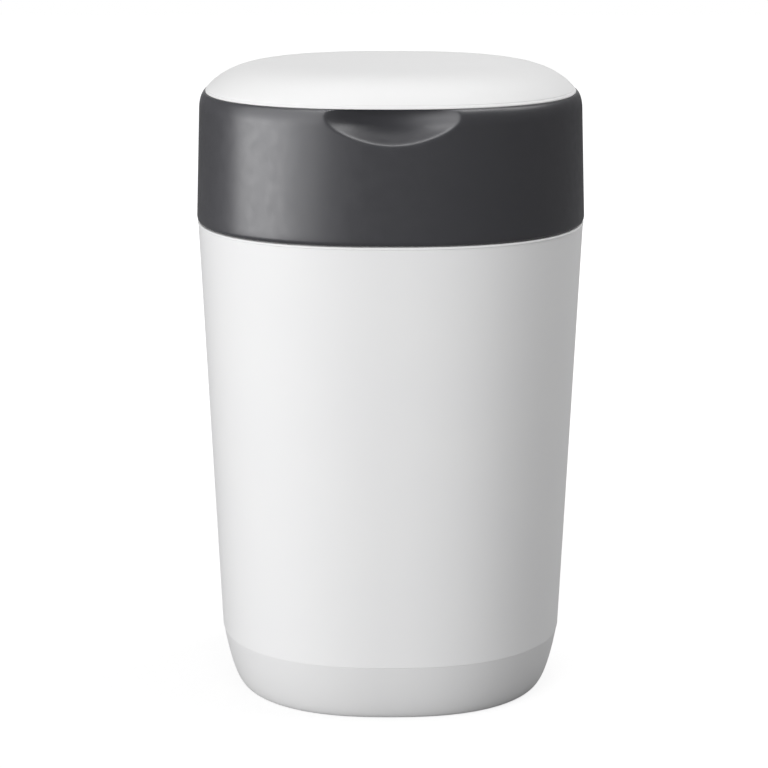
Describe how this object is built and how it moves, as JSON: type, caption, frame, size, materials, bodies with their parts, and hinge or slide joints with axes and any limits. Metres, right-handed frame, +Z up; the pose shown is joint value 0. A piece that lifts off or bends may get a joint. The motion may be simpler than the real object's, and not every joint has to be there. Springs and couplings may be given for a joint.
{
  "type": "nappy bin",
  "caption": "Free-standing nappy bin: tapered tub, lift-off head with a hinged domed lid, a twist dial that holds a ring film cassette, and a sliding film cutter.",
  "frame": {"origin": "on the floor under the middle of the bin's outline", "axes": "+Z up, front with the thumb recess towards -Y, +X to the right seen from the front, lid hinge at the back along X"},
  "size_m": [0.2658, 0.2658, 0.4346],
  "materials": {
    "white_moulding": "satin moulded polypropylene",
    "dark_moulding": "satin moulded polypropylene",
    "grey_moulding": "satin moulded",
    "dial_grip": "fine grained",
    "soft_ring": "matt thermoplastic elastomer",
    "cassette": "gloss moulded",
    "film": "thin polyethylene film",
    "steel": "zinc plated or ground"
  },
  "bodies": {
    "tub": {"tub": "white_moulding"},
    "head": {"collar": "dark_moulding", "head_seal": "soft_ring", "chassis": "grey_moulding", "chassis_screws": "steel", "hinge_block": "dark_moulding", "hinge_screws": "steel", "hinge_pin": "steel", "click_spring": "steel", "click_screw": "steel", "grip_fingers": "soft_ring", "clamp_ring": "grey_moulding", "clamp_screws": "steel", "cutter_housing": "dark_moulding", "housing_screws": "steel"},
    "lid": {"lid_shell": "white_moulding", "lid_liner": "white_moulding", "lid_seal": "soft_ring"},
    "dial": {"dial": "white_moulding", "grip_ring": "dial_grip", "cassette_tray": "cassette", "cassette_cover": "cassette", "film_pack": "film"},
    "cutter": {"cutter_slide": "dial_grip", "cutter_blade": "steel", "blade_rivet": "steel"}
  },
  "joints": [
    {"name": "head_lift", "type": "slide", "parent": "tub", "child": "head", "axis": [0, 0, 1], "range_m": [0, 0.15]},
    {"name": "lid_hinge", "type": "hinge", "parent": "head", "child": "lid", "pos_m": [0, 0.1264, 0.4168], "axis": [-1, 0, 0], "range_deg": [0, 100]},
    {"name": "dial_twist", "type": "hinge", "parent": "head", "child": "dial", "pos_m": [0, 0, 0.407], "axis": [0, 0, 1], "continuous": true},
    {"name": "cutter_slide", "type": "slide", "parent": "head", "child": "cutter", "axis": [1, 0, 0], "range_m": [0, 0.022]}
  ]
}
